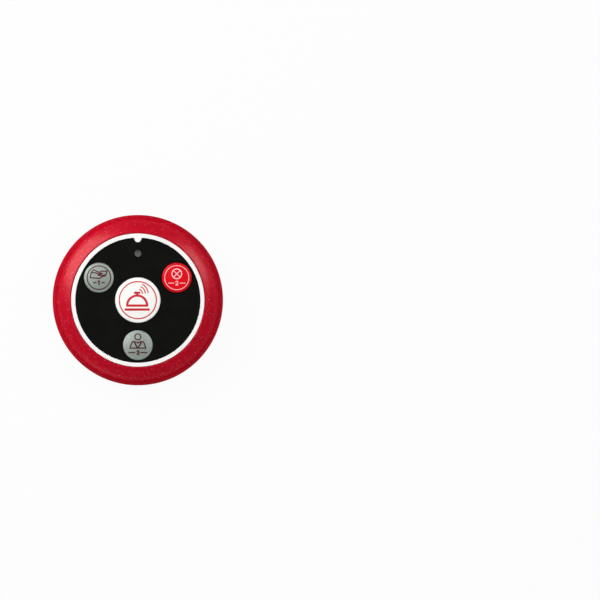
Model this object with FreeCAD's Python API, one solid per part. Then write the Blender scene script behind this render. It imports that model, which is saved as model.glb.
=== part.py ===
"""Waiter call button: a round table-top radio transmitter with four keys.

A red bezel shell stands on a black base. A white trim ring holds a black key panel in the shell's opening,
and four keys come up through the panel: a large call key in the middle, and pay, cancel and order keys
around it. Behind the panel a circuit board carries four tactile switches, an indicator light and a small
433 MHz transmitter. A 12 V battery lies in a trough in the base, behind a sliding door.

Millimetres. +Z is up, the keys face up, the indicator light is towards +Y, and the origin is on the table
at the middle of the four feet. Every piece is modelled where it sits in the closed, unpressed button.
"""

import FreeCAD
import Part
import math
import os

from FreeCAD import Vector

# ---------------------------------------------------------------- driving sizes
# Keys
CALL_KEY_RADIUS = 7.93
SIDE_KEY_RADIUS = 5.2
KEY_SPACING = 2.63          # rim of the call key to rim of a side key
KEY_GAP = 0.2               # a key's radial clearance in its hole
KEY_TRAVEL = 0.3
KEY_PROUD = 0.4             # key rim above the panel
KEY_ROOF = 0.85             # thickness of a key's top at its rim
KEY_WALL = 0.9
KEY_CROWN = 0.5             # rise of the key's top from its rim to its middle
KEY_EDGE_ROUND = 0.35
KEY_POST_RADIUS = 1.2
KEY_POST_LENGTH = 0.4
EAR_WIDTH = 2.4             # two ears keep each key in, and keep it from turning
EAR_REACH = 0.85
EAR_THICKNESS = 0.6
EAR_SEAT_GAP = 0.05
GUIDE_RIB_THICKNESS = 0.7
GUIDE_RIB_GAP = 0.15

# Key panel and trim ring
PANEL_THICKNESS = 1.5
PANEL_RIM = 0.72            # panel left outside each side key's hole
HOLE_CHAMFER = 0.15
RING_FIT = 0.07             # radial clearance inside and outside the trim ring
RING_WIDTH = 1.4
RING_PROUD = 0.1            # trim ring above the panel
RING_EDGE_ROUND = 0.15
RING_LEDGE_MARGIN = 0.05
RING_LEDGE_THICKNESS = 0.8
RING_FLANGE_REACH = 0.8
RING_FLANGE_THICKNESS = 0.9
TAB_RADIUS = 1.22           # locating tab at the top of the ring, and its notch in the panel
TAB_SET_BACK = 0.4
TAB_CLEARANCE = 0.08
TAB_CORNER_ROUND = 0.5
PANEL_BOSS_RADIUS = 1.8

# Indicator light
LIGHT_INSET = 5.45          # panel edge to the light's centre
LIGHT_PIPE_RADIUS = 1.2
LIGHT_PIPE_CLEARANCE = 0.04
LIGHT_PIPE_RECESS = 0.25
LIGHT_PIPE_FLANGE_RADIUS = 1.8
LIGHT_PIPE_FLANGE_THICKNESS = 0.5
LIGHT_PIPE_TO_LED = 0.1
LED_SIZE = (2.0, 1.25, 0.75)

# Bezel shell
SHELL_SET_DOWN = 0.12       # bezel's inner edge below the trim ring
SHELL_ROOF = 1.6
SHELL_WALL = 1.8
BEZEL_WIDTH = 5.2
BEZEL_DROP = 2.5
BEZEL_BULGE = 0.3
BEZEL_EDGE_ROUND = 0.35
SHOULDER_ROUND = 4.0
FLANK_WIDTH = 1.38
FLANK_BULGE = 0.3
SHELL_LIP_ROUND = 0.6
BOSS_RADIUS = 1.9
BOSS_WALL_GAP = 0.7
BOSS_WEB = 1.0
BOSS_NOTCH_GAP = 0.25

# Base cover
BASE_INSET = 1.0            # base inside the shell's outline
PLINTH_HEIGHT = 3.3
BASE_EDGE_CHAMFER = 0.5
PARTING_GAP = 0.1
SPIGOT_WALL = 1.4
SPIGOT_HEIGHT = 2.4
SPIGOT_FIT = 0.1
BASE_FLOOR = 1.5
CHANNEL_ROOF = 1.0          # base floor left above the door's channel
CHANNEL_WALL = 1.2
PILLAR_RADIUS = 2.7
PILLAR_SHOULDER = 1.5
BOSS_TO_SPIGOT = 0.6
BOARD_POST_RADIUS = 1.5
BOARD_POST_PIN_RADIUS = 0.7
BOARD_POST_INSET = 3.1

# Feet
FOOT_RADIUS = 4.0
FOOT_THICKNESS = 1.0
FOOT_RECESS = 0.4
FOOT_FIT = 0.1
FOOT_INSET = 3.0            # base's edge to a foot
FOOT_EDGE_ROUND = 0.25

# Battery door
DOOR_THICKNESS = 1.2
DOOR_SLACK = 0.1            # running clearance above the door, and under its tongues
DOOR_SIDE_GAP = 0.12
DOOR_MARGIN = 1.6           # door past the trough's sides
DOOR_END_MARGIN = 1.0
DOOR_TONGUE = 0.8
DOOR_LIP = 0.5
GRIP_RIDGES = 4
GRIP_PITCH = 1.5
GRIP_GROOVE = (0.7, 8.0, 0.3)
GRIP_INSET = 2.6
ARROW_LENGTH = 2.6
ARROW_WIDTH = 4.4
ARROW_GAP = 1.4             # arrow's tip to the nearest groove

# 12 V battery and its contacts
BATTERY_RADIUS = 5.15
BATTERY_LENGTH = 28.5
BATTERY_NUB = (1.9, 0.8)
BATTERY_CAN_WALL = 0.25
BATTERY_CELLS = 8           # button cells stacked in the can, 1.5 V each
BATTERY_CELL_GAP = 0.05
BATTERY_JACKET = 0.15
BATTERY_JACKET_CLEARANCE = 0.02
BATTERY_JACKET_SET_BACK = 0.5
BATTERY_SLACK = 0.15
TROUGH_WALL = 1.1
TROUGH_ROOF = 0.8
CONTACT_THICKNESS = 0.4
CONTACT_HALF_WIDTH = 3.2
CONTACT_RISE = 3.5          # top of a contact's plate above the battery's axis
CONTACT_DROP = 4.3
CONTACT_TAB_HALF_WIDTH = 1.2
CONTACT_TAB_PROUD = 0.6
CONTACT_SLOT_GAP = 0.2
SPRING_LENGTH = 3.1
SPRING_WIRE_RADIUS = 0.25
SPRING_BASE_RADIUS = 3.0
SPRING_TIP_RADIUS = 2.1
SPRING_TURNS = 3.0
SPRING_CLOSED_TURNS = 0.65  # flat part of a turn at each end

# Circuit board
BOARD_THICKNESS = 1.0
BOARD_GAP = 0.15            # trough roof to board
BOARD_MARGIN = 0.75         # board past the trim ring's outside
BOARD_SCREW_SPACING = 2.8
BOARD_SCREW_OUT = 1.0       # lower screws' circle outside the side keys' circle
BOARD_SCREW_TROUGH_GAP = 0.6

# Tactile switches
SWITCH_SIDE = 5.2
SWITCH_HEIGHT = 1.4
SWITCH_STAND = 2.0          # plunger's top above the board
SWITCH_COVER = 0.15
SWITCH_WELL_RADIUS = 2.1
SWITCH_WELL_FLOOR = 0.25
PLUNGER_RADIUS = 1.3
PLUNGER_FLANGE_RADIUS = 1.9
PLUNGER_FLANGE = 0.3
PLUNGER_CLEARANCE = 0.12
DOME_RADIUS = 1.85
DOME_THICKNESS = 0.08
DOME_SLACK = 0.05           # left over the flattened dome at the end of a key's travel
TERMINAL_SIZE = (1.0, 0.9, 0.15)

# Radio parts on the board
CHIP_BODY = (4.9, 3.9, 1.4)
CHIP_LEAD = (0.42, 1.0, 0.2)
CHIP_LEAD_PITCH = 1.27
CHIP_LEADS_A_SIDE = 4
CHIP_STANDOFF = 0.1
RESONATOR_RADIUS = 4.5
RESONATOR_HEIGHT = 3.2
RESONATOR_FLANGE_RADIUS = 4.75
RESONATOR_FLANGE = 0.4
RESONATOR_CAP_ROUND = 0.5
ANTENNA_RADIUS = 2.5
ANTENNA_WIRE_RADIUS = 0.35
ANTENNA_LEG_RADIUS = 0.4    # thicker than the wire where it is tinned
ANTENNA_TURNS = 10
ANTENNA_PITCH = 1.7
ANTENNA_TROUGH_GAP = 2.5
ANTENNA_BOARD_GAP = 0.5
RESISTOR_SIZE = (2.0, 1.25, 0.5)
RESISTORS_IN_ROW = 4
CAPACITOR_SIZE = (2.0, 1.25, 0.8)
CAPACITORS_IN_ROW = 3
PART_GAP = 1.2              # between neighbouring parts on the board

# Screws: (shank radius, length, head radius, head height)
CASE_SCREW = (0.95, 8.0, 1.8, 1.3)
BOARD_SCREW = (0.75, 2.1, 1.4, 0.9)
SCREW_CLEARANCE = 0.25      # shank in a plain hole, and head in a counterbore
THREAD_CLEARANCE = 0.03     # shank in the plastic it has cut its thread in
PILOT_SPARE = 0.5
CROSS_RECESS = (0.55, 2.3, 0.6)

# ---------------------------------------------------------------- directions
SIDE_KEY_ANGLES = {"cancel": 30.0, "pay": 150.0, "order": 270.0}
CASE_SCREW_ANGLES = (90.0, 210.0, 330.0)
BOARD_POST_ANGLES = (30.0, 150.0, 270.0)
FOOT_ANGLES = (45.0, 135.0, 225.0, 315.0)

# ---------------------------------------------------------------- levels, from the table up
base_bottom = FOOT_THICKNESS - FOOT_RECESS
door_top = base_bottom + DOOR_THICKNESS
channel_top = door_top + DOOR_SLACK
plinth_top = base_bottom + PLINTH_HEIGHT
shell_bottom = plinth_top + PARTING_GAP
floor_top = base_bottom + BASE_FLOOR
channel_roof_top = channel_top + CHANNEL_ROOF
battery_axis = channel_top + BATTERY_SLACK + BATTERY_RADIUS
trough_top = battery_axis + BATTERY_RADIUS + BATTERY_SLACK + TROUGH_ROOF
board_bottom = trough_top + BOARD_GAP
board_top = board_bottom + BOARD_THICKNESS
dome_seat = board_top + SWITCH_WELL_FLOOR
plunger_foot = dome_seat + DOME_THICKNESS + DOME_SLACK + KEY_TRAVEL
plunger_top = board_top + SWITCH_STAND
key_inside_top = plunger_top + KEY_POST_LENGTH
key_rim = key_inside_top + KEY_ROOF
panel_top = key_rim - KEY_PROUD
panel_bottom = panel_top - PANEL_THICKNESS
ear_top = panel_bottom - EAR_SEAT_GAP
ear_bottom = ear_top - EAR_THICKNESS
ring_top = panel_top + RING_PROUD
shell_top = ring_top - SHELL_SET_DOWN
roof_bottom = shell_top - SHELL_ROOF
shoulder_top = shell_top - BEZEL_DROP
spigot_top = shell_bottom + SPIGOT_HEIGHT
boss_bottom = spigot_top + BOSS_TO_SPIGOT
screw_seat = boss_bottom - PILLAR_SHOULDER

# ---------------------------------------------------------------- radii, from the middle out
key_circle_radius = CALL_KEY_RADIUS + KEY_SPACING + SIDE_KEY_RADIUS
panel_radius = key_circle_radius + SIDE_KEY_RADIUS + KEY_GAP + PANEL_RIM
ledge_radius = panel_radius - PANEL_RIM + RING_LEDGE_MARGIN
ring_inner_radius = panel_radius + RING_FIT
ring_outer_radius = ring_inner_radius + RING_WIDTH
opening_radius = ring_outer_radius + RING_FIT
shoulder_radius = opening_radius + BEZEL_WIDTH
case_radius = shoulder_radius + FLANK_WIDTH
shell_inner_radius = case_radius - SHELL_WALL
base_radius = case_radius - BASE_INSET
spigot_radius = shell_inner_radius - SPIGOT_FIT
board_radius = ring_outer_radius + BOARD_MARGIN
boss_circle_radius = shell_inner_radius - BOSS_RADIUS - BOSS_WALL_GAP
board_post_circle_radius = board_radius - BOARD_POST_INSET
foot_circle_radius = base_radius - FOOT_INSET - FOOT_RADIUS
light_y = panel_radius - LIGHT_INSET

# ---------------------------------------------------------------- trough and door, along X and Y
trough_radius = BATTERY_RADIUS + BATTERY_SLACK
trough_half_length = (BATTERY_LENGTH + SPRING_LENGTH + 2 * CONTACT_THICKNESS) / 2
trough_outside_y = trough_radius + TROUGH_WALL
trough_outside_x = trough_half_length + TROUGH_WALL
battery_plus_x = trough_half_length - CONTACT_THICKNESS
battery_minus_x = battery_plus_x - BATTERY_LENGTH
door_half_width = trough_radius + DOOR_MARGIN
door_start = -trough_half_length - DOOR_END_MARGIN

case_screw_radius, case_screw_length, case_head_radius, _ = CASE_SCREW
board_screw_radius, board_screw_length, board_head_radius, _ = BOARD_SCREW
board_screw_x = LIGHT_PIPE_FLANGE_RADIUS + PANEL_BOSS_RADIUS + BOARD_SCREW_SPACING
board_screw_low_y = -(trough_outside_y + board_head_radius + BOARD_SCREW_TROUGH_GAP)
board_screw_low_x = math.sqrt((key_circle_radius + BOARD_SCREW_OUT) ** 2 - board_screw_low_y**2)
BOARD_SCREW_PLACES = [
    (board_screw_x, light_y),
    (-board_screw_x, light_y),
    (board_screw_low_x, board_screw_low_y),
    (-board_screw_low_x, board_screw_low_y),
]

# ---------------------------------------------------------------- parts under the board
resonator_x = RESONATOR_FLANGE_RADIUS + PART_GAP + CAPACITOR_SIZE[0]
resonator_y = -(trough_outside_y + RESONATOR_FLANGE_RADIUS + 2 * PART_GAP)
chip_x = -resonator_x
chip_y = resonator_y


# ---------------------------------------------------------------- building blocks
def polar(radius, degrees):
    """The x and y of a point at that radius and angle."""
    return radius * math.cos(math.radians(degrees)), radius * math.sin(math.radians(degrees))


def centred_row(count, pitch):
    """Places along a row, evenly spaced about 0."""
    return [(n - (count - 1) / 2) * pitch for n in range(count)]


def disc(radius, low, high, x=0.0, y=0.0):
    """An upright cylinder between two levels."""
    return Part.makeCylinder(radius, high - low, Vector(x, y, low))


def rod(radius, start, end, y, z):
    """A cylinder along X."""
    return Part.makeCylinder(radius, end - start, Vector(start, y, z), Vector(1, 0, 0))


def block(x_low, x_high, y_low, y_high, low, high):
    """A box between its limits."""
    return Part.makeBox(x_high - x_low, y_high - y_low, high - low, Vector(x_low, y_low, low))


def centred_block(size, x, y, low):
    """A box of that (x, y, z) size, centred on a point and standing on a level."""
    return Part.makeBox(*size, Vector(x - size[0] / 2, y - size[1] / 2, low))


def turned(shape, degrees, x=0.0, y=0.0):
    """The shape turned about the Z axis, then moved."""
    copy = shape.copy()
    copy.rotate(Vector(0, 0, 0), Vector(0, 0, 1), degrees)
    copy.translate(Vector(x, y, 0))
    return copy


def fused(shapes):
    """One solid made of the shapes, with no seams left in its faces."""
    shapes = list(shapes)
    return shapes[0].multiFuse(shapes[1:]).removeSplitter()


def less(shape, cutters):
    """The shape with every cutter taken out of it."""
    return shape.cut(Part.makeCompound(list(cutters)))


def bulged(start, end, bulge):
    """An arc in the XZ plane from start to end that stands out to its left by bulge."""
    (x1, z1), (x2, z2) = start, end
    length = math.hypot(x2 - x1, z2 - z1)
    middle = Vector(
        (x1 + x2) / 2 - bulge * (z2 - z1) / length, 0, (z1 + z2) / 2 + bulge * (x2 - x1) / length
    )
    return Part.Arc(Vector(x1, 0, z1), middle, Vector(x2, 0, z2)).toShape()


def straight(start, end):
    """A line in the XZ plane."""
    return Part.LineSegment(Vector(start[0], 0, start[1]), Vector(end[0], 0, end[1])).toShape()


def turned_solid(edges):
    """The solid that a closed outline in the XZ plane sweeps around the Z axis."""
    face = Part.Face(Part.Wire(list(edges)))
    return Part.makeSolid(face.revolve(Vector(0, 0, 0), Vector(0, 0, 1), 360))


def ring_solid(points):
    """The solid of revolution of a polygon of (radius, level) corners."""
    return turned_solid(straight(a, b) for a, b in zip(points, points[1:] + points[:1]))


def round_edges(shape, radius, level, rounding, tolerance=0.02):
    """Rounds the circular edges of that radius, about the Z axis, at that level."""
    chosen = [
        edge
        for edge in shape.Edges
        if not edge.Degenerated
        and isinstance(edge.Curve, Part.Circle)
        and abs(edge.Curve.Radius - radius) < tolerance
        and abs(edge.Curve.Center.z - level) < tolerance
    ]
    return shape.makeFillet(rounding, chosen)


def round_tab_corners(shape, radius, rounding):
    """Rounds the upright edges where the tab, or its notch, meets the circle of that radius."""
    def at_corner(vertex):
        on_circle = abs(math.hypot(vertex.X, vertex.Y) - radius) < 0.01
        return on_circle and vertex.Y > 0 and abs(vertex.X) < 2 * TAB_RADIUS

    chosen = [
        edge
        for edge in shape.Edges
        if all(at_corner(vertex) for vertex in edge.Vertexes) and edge.BoundBox.ZLength > PANEL_THICKNESS / 2
    ]
    return shape.makeFillet(rounding, chosen)


def coil(radius, tip_radius, length, turns, closed_turns, wire_radius):
    """A wire wound along +X from the origin, tapering to tip_radius, with flat closed turns at both ends."""
    steps = 16
    points = []
    for n in range(round(turns * steps) + 1):
        turn = n / steps
        along = min(max((turn - closed_turns) / (turns - 2 * closed_turns), 0.0), 1.0)
        y, z = polar(radius + (tip_radius - radius) * turn / turns, 360 * turn + 90)
        points.append(Vector(length * along, y, z))
    spline = Part.BSplineCurve()
    spline.interpolate(points)
    direction = spline.tangent(spline.FirstParameter)[0]
    section = Part.Wire(Part.makeCircle(wire_radius, points[0], direction))
    return Part.Wire(spline.toShape()).makePipeShell([section], True, True)


# ---------------------------------------------------------------- keys
def key_places():
    """Each key's name with its centre, its radius and the direction of its ears."""
    places = {"call": (0.0, 0.0, CALL_KEY_RADIUS, 0.0)}
    for name, angle in SIDE_KEY_ANGLES.items():
        places[name] = (*polar(key_circle_radius, angle), SIDE_KEY_RADIUS, angle + 90)
    return places


def key(radius):
    """A moulded cap: crowned top, thin skirt, a post that meets the switch, and two ears below the panel."""
    sphere_radius = (radius**2 + KEY_CROWN**2) / (2 * KEY_CROWN)
    crown = Part.makeSphere(sphere_radius, Vector(0, 0, key_rim + KEY_CROWN - sphere_radius))
    cap = disc(radius, ear_bottom, key_rim + KEY_CROWN).common(crown)
    cap = round_edges(cap, radius, key_rim, KEY_EDGE_ROUND)
    cap = cap.cut(disc(radius - KEY_WALL, ear_bottom, key_inside_top))
    post = disc(KEY_POST_RADIUS, plunger_top, key_inside_top + KEY_ROOF / 2)
    ear_tip = radius + EAR_REACH
    ears = block(-ear_tip, ear_tip, -EAR_WIDTH / 2, EAR_WIDTH / 2, ear_bottom, ear_top)
    ears = ears.cut(disc(radius - KEY_WALL / 2, ear_bottom, ear_top))
    return fused([cap, post, ears])


def ear_guides(radius):
    """Ribs under the panel on both sides of each ear, which keep the key's legend upright."""
    near = radius + KEY_GAP
    far = radius + EAR_REACH + KEY_GAP
    offset = EAR_WIDTH / 2 + GUIDE_RIB_GAP
    ribs = []
    for side in (1, -1):
        for end in (1, -1):
            x_limits = sorted((end * near, end * far))
            y_limits = sorted((side * offset, side * (offset + GUIDE_RIB_THICKNESS)))
            ribs.append(block(*x_limits, *y_limits, ear_bottom, panel_bottom + PANEL_THICKNESS / 2))
    return ribs


# ---------------------------------------------------------------- panel, trim ring and light pipe
def locating_tab(radius, low, high):
    """The round tab at the top of the trim ring, or the cutter for its notch."""
    return disc(radius, low, high, 0.0, ring_inner_radius - TAB_SET_BACK)


def key_panel():
    """Black faceplate with four key holes, the light's hole, the tab's notch, guide ribs and screw bosses."""
    plate = disc(panel_radius, panel_bottom, panel_top)
    cutters = [locating_tab(TAB_RADIUS + TAB_CLEARANCE, panel_bottom, panel_top)]
    cutters.append(disc(LIGHT_PIPE_RADIUS + LIGHT_PIPE_CLEARANCE, panel_bottom, panel_top, 0.0, light_y))
    added = []
    for x, y, radius, ear_angle in key_places().values():
        hole = radius + KEY_GAP
        cutters.append(disc(hole, ear_bottom, panel_top, x, y))
        cutters.append(
            Part.makeCone(hole, hole + HOLE_CHAMFER, HOLE_CHAMFER, Vector(x, y, panel_top - HOLE_CHAMFER))
        )
        added += [turned(rib, ear_angle, x, y) for rib in ear_guides(radius)]
    added += [
        disc(PANEL_BOSS_RADIUS, board_top, panel_bottom + PANEL_THICKNESS / 2, x, y)
        for x, y in BOARD_SCREW_PLACES
    ]
    pilot = board_screw_radius + THREAD_CLEARANCE
    pilot_top = board_bottom + board_screw_length + PILOT_SPARE / 2
    cutters += [disc(pilot, board_top, pilot_top, x, y) for x, y in BOARD_SCREW_PLACES]
    panel = less(fused([plate] + added), cutters)
    return round_tab_corners(panel, panel_radius, TAB_CORNER_ROUND - TAB_CLEARANCE)


def trim_ring():
    """White ring on the board: its ledge carries the panel and its flange sits under the bezel."""
    ledge_bottom = panel_bottom - RING_LEDGE_THICKNESS
    flange_radius = ring_outer_radius + RING_FLANGE_REACH
    flange_bottom = roof_bottom - RING_FLANGE_THICKNESS
    ring = ring_solid([
        (ring_inner_radius, ring_top),
        (ring_inner_radius, panel_bottom),
        (ledge_radius, panel_bottom),
        (ledge_radius, ledge_bottom),
        (ring_inner_radius, ledge_bottom),
        (ring_inner_radius, board_top),
        (ring_outer_radius, board_top),
        (ring_outer_radius, flange_bottom),
        (flange_radius, flange_bottom),
        (flange_radius, roof_bottom),
        (ring_outer_radius, roof_bottom),
        (ring_outer_radius, ring_top),
    ])
    tab = locating_tab(TAB_RADIUS, panel_bottom, ring_top)
    ring = fused([ring, tab.common(disc(ring_inner_radius + RING_WIDTH / 2, panel_bottom, ring_top))])
    ring = round_tab_corners(ring, ring_inner_radius, TAB_CORNER_ROUND)
    ring = round_edges(ring, ring_outer_radius, ring_top, RING_EDGE_ROUND)
    notches = [
        disc(BOSS_RADIUS + BOSS_NOTCH_GAP, flange_bottom, roof_bottom, *polar(boss_circle_radius, angle))
        for angle in CASE_SCREW_ANGLES
    ]
    return less(ring, notches)


def light_pipe():
    """Frosted lens that brings the indicator light up to the panel."""
    flange_bottom = panel_bottom - LIGHT_PIPE_FLANGE_THICKNESS
    led_top = board_top + LED_SIZE[2]
    return fused([
        disc(LIGHT_PIPE_RADIUS, led_top + LIGHT_PIPE_TO_LED, panel_top - LIGHT_PIPE_RECESS, 0.0, light_y),
        disc(LIGHT_PIPE_FLANGE_RADIUS, flange_bottom, panel_bottom, 0.0, light_y),
    ])


# ---------------------------------------------------------------- bezel shell
def top_shell():
    """Red shell: a sloping bezel round the opening, a steep flank, and three screw bosses inside."""
    opening_edge = (opening_radius, shell_top)
    shoulder = (shoulder_radius, shoulder_top)
    flank_foot = (case_radius, shell_bottom + SHELL_LIP_ROUND)
    outer_edges = [
        straight((0, shell_bottom), (0, shell_top)),
        straight((0, shell_top), opening_edge),
        bulged(opening_edge, shoulder, BEZEL_BULGE),
        bulged(shoulder, flank_foot, FLANK_BULGE),
        straight(flank_foot, (case_radius, shell_bottom)),
        straight((case_radius, shell_bottom), (0, shell_bottom)),
    ]
    outside = turned_solid(outer_edges)
    outside = round_edges(outside, shoulder_radius, shoulder_top, SHOULDER_ROUND)
    outside = round_edges(outside, case_radius, shell_bottom, SHELL_LIP_ROUND / 2)
    pocket_radius = ring_outer_radius + RING_FLANGE_REACH + RING_FIT
    inside = ring_solid([
        (0, shell_bottom),
        (shell_inner_radius, shell_bottom),
        (shell_inner_radius, boss_bottom),
        (shoulder_radius - SHELL_WALL, shoulder_top - SHELL_ROOF),
        (pocket_radius, roof_bottom),
        (0, roof_bottom),
    ])
    shell = outside.cut(inside).cut(disc(opening_radius, roof_bottom, shell_top))
    shell = round_edges(shell, opening_radius, shell_top, BEZEL_EDGE_ROUND)
    bosses = []
    pilots = []
    pilot_top = screw_seat + case_screw_length + PILOT_SPARE
    for angle in CASE_SCREW_ANGLES:
        x, y = polar(boss_circle_radius, angle)
        web = block(boss_circle_radius, case_radius, -BOSS_WEB / 2, BOSS_WEB / 2, boss_bottom, roof_bottom)
        boss = disc(BOSS_RADIUS, boss_bottom, roof_bottom, x, y).fuse(turned(web, angle))
        bosses.append(boss.common(inside))
        pilots.append(disc(case_screw_radius + THREAD_CLEARANCE, boss_bottom, pilot_top, x, y))
    return less(fused([shell] + bosses), pilots)


# ---------------------------------------------------------------- base cover, feet and battery door
def door_channel():
    """The space that the door slides in, open at the +X side of the base."""
    past_base = base_radius + DOOR_TONGUE
    gap = DOOR_SIDE_GAP
    start = door_start - gap
    lip_top = base_bottom + DOOR_LIP
    wide = door_half_width + DOOR_TONGUE + gap
    narrow = door_half_width + gap
    return fused([
        block(start, past_base, -narrow, narrow, base_bottom, channel_top),
        block(start, past_base, -wide, wide, lip_top, channel_top),
    ])


def contact_slot(end):
    """The slot that lets a contact's tab up through the trough's roof and the board."""
    half_width = CONTACT_TAB_HALF_WIDTH + CONTACT_SLOT_GAP
    inner = trough_half_length - CONTACT_THICKNESS - CONTACT_SLOT_GAP
    x_limits = sorted((end * inner, end * trough_half_length))
    return block(*x_limits, -half_width, half_width, battery_axis, board_top)


def trough_cutters():
    """The trough's inside: a round-topped tunnel, open below, with a slot for each contact's tab."""
    length = (-trough_half_length, trough_half_length)
    return [
        rod(trough_radius, *length, 0.0, battery_axis),
        block(*length, -trough_radius, trough_radius, base_bottom, battery_axis),
        contact_slot(1),
        contact_slot(-1),
    ]


def base_cover():
    """Black base: floor, rim, spigot inside the shell, screw pillars, board posts and battery trough."""
    inner = spigot_radius - SPIGOT_WALL
    c = BASE_EDGE_CHAMFER
    tray = ring_solid([
        (0, base_bottom),
        (base_radius - c, base_bottom),
        (base_radius, base_bottom + c),
        (base_radius, plinth_top),
        (spigot_radius, plinth_top),
        (spigot_radius, spigot_top),
        (inner, spigot_top),
        (inner, floor_top),
        (0, floor_top),
    ])
    trough_y = (-trough_outside_y, trough_outside_y)
    channel_start = door_start - DOOR_SIDE_GAP - CHANNEL_WALL
    channel_half_width = door_half_width + DOOR_TONGUE + DOOR_SIDE_GAP + CHANNEL_WALL
    channel_y = (-channel_half_width, channel_half_width)
    channel_housing = block(channel_start, inner + SPIGOT_WALL / 2, *channel_y, base_bottom, channel_roof_top)
    added = [
        channel_housing.common(disc(inner + SPIGOT_WALL / 2, base_bottom, channel_roof_top)),
        block(-trough_outside_x, trough_outside_x, *trough_y, channel_top, trough_top),
    ]
    cutters = [door_channel()] + trough_cutters()
    counterbore = case_head_radius + SCREW_CLEARANCE
    shank_hole = case_screw_radius + SCREW_CLEARANCE
    for angle in CASE_SCREW_ANGLES:
        x, y = polar(boss_circle_radius, angle)
        pillar = disc(PILLAR_RADIUS, floor_top, boss_bottom, x, y)
        added.append(pillar.common(disc(spigot_radius, floor_top, boss_bottom)))
        cutters.append(disc(counterbore, base_bottom, screw_seat, x, y))
        cutters.append(disc(shank_hole, screw_seat, boss_bottom, x, y))
    for angle in BOARD_POST_ANGLES:
        x, y = polar(board_post_circle_radius, angle)
        added.append(disc(BOARD_POST_RADIUS, floor_top, board_bottom, x, y))
        added.append(disc(BOARD_POST_PIN_RADIUS, floor_top, board_top, x, y))
    for angle in FOOT_ANGLES:
        x, y = polar(foot_circle_radius, angle)
        cutters.append(disc(FOOT_RADIUS + FOOT_FIT, base_bottom, base_bottom + FOOT_RECESS, x, y))
    return less(fused([tray] + added), cutters)


def rubber_feet():
    """Four soft discs in the base's shallow recesses."""
    foot = round_edges(disc(FOOT_RADIUS, 0.0, FOOT_THICKNESS), FOOT_RADIUS, 0.0, FOOT_EDGE_ROUND)
    return [turned(foot, 0, *polar(foot_circle_radius, angle)) for angle in FOOT_ANGLES]


def door_arrow():
    """Cutter for the sunk arrow that points the way the door slides."""
    width, _, depth = GRIP_GROOVE
    tip_x = base_radius - GRIP_INSET - (GRIP_RIDGES - 1) * GRIP_PITCH - width / 2 - ARROW_GAP
    tip = Vector(tip_x, 0, base_bottom)
    left = Vector(tip_x - ARROW_LENGTH, ARROW_WIDTH / 2, base_bottom)
    right = Vector(tip_x - ARROW_LENGTH, -ARROW_WIDTH / 2, base_bottom)
    return Part.Face(Part.makePolygon([tip, left, right, tip])).extrude(Vector(0, 0, depth))


def battery_door():
    """Flush sliding door with a tongue along each side, and grip grooves and an arrow at its outer end."""
    end = base_radius
    tongue_bottom = base_bottom + DOOR_LIP + DOOR_SLACK
    wide = door_half_width + DOOR_TONGUE
    plate = fused([
        block(door_start, end, -door_half_width, door_half_width, base_bottom, door_top),
        block(door_start, end, -wide, wide, tongue_bottom, door_top),
    ])
    c = BASE_EDGE_CHAMFER
    base_outline = ring_solid([
        (0, base_bottom),
        (base_radius - c, base_bottom),
        (base_radius, base_bottom + c),
        (base_radius, door_top),
        (0, door_top),
    ])
    width, length, depth = GRIP_GROOVE
    grooves = [
        centred_block((width, length, depth), base_radius - GRIP_INSET - n * GRIP_PITCH, 0.0, base_bottom)
        for n in range(GRIP_RIDGES)
    ]
    return less(plate.common(base_outline), grooves + [door_arrow()])


# ---------------------------------------------------------------- battery and contacts
def battery_can():
    """Steel can of the 12 V battery: open at its minus end, with its plus nub towards +X."""
    nub_radius, nub_length = BATTERY_NUB
    radius = BATTERY_RADIUS - BATTERY_JACKET
    shoulder = battery_plus_x - nub_length
    inside_end = shoulder - BATTERY_CAN_WALL
    can = rod(radius, battery_minus_x, shoulder, 0.0, battery_axis)
    can = can.cut(rod(radius - BATTERY_CAN_WALL, battery_minus_x, inside_end, 0.0, battery_axis))
    return fused([can, rod(nub_radius, inside_end, battery_plus_x, 0.0, battery_axis)])


def battery_cells():
    """Button cells stacked in the can; the last one closes the can's minus end."""
    radius = BATTERY_RADIUS - BATTERY_JACKET - BATTERY_CAN_WALL - BATTERY_CELL_GAP
    end = battery_plus_x - BATTERY_NUB[1] - BATTERY_CAN_WALL
    pitch = (end - battery_minus_x) / BATTERY_CELLS
    starts = [battery_minus_x + n * pitch for n in range(BATTERY_CELLS)]
    return [rod(radius, x, x + pitch - BATTERY_CELL_GAP, 0.0, battery_axis) for x in starts]


def battery_jacket():
    """Shrunk-on plastic jacket around the can."""
    start = battery_minus_x + BATTERY_JACKET_SET_BACK
    end = battery_plus_x - BATTERY_NUB[1] - BATTERY_JACKET_SET_BACK
    bore = BATTERY_RADIUS - BATTERY_JACKET + BATTERY_JACKET_CLEARANCE
    return rod(BATTERY_RADIUS, start, end, 0.0, battery_axis).cut(rod(bore, start, end, 0.0, battery_axis))


def battery_contact(end):
    """Sprung steel plate against one end of the trough, with a tab that is soldered through the board."""
    x_limits = sorted((end * (trough_half_length - CONTACT_THICKNESS), end * trough_half_length))
    plate_top = battery_axis + CONTACT_RISE
    plate = block(*x_limits, -CONTACT_HALF_WIDTH, CONTACT_HALF_WIDTH, battery_axis - CONTACT_DROP, plate_top)
    tab = block(
        *x_limits, -CONTACT_TAB_HALF_WIDTH, CONTACT_TAB_HALF_WIDTH, plate_top, board_top + CONTACT_TAB_PROUD
    )
    return fused([plate, tab])


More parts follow.
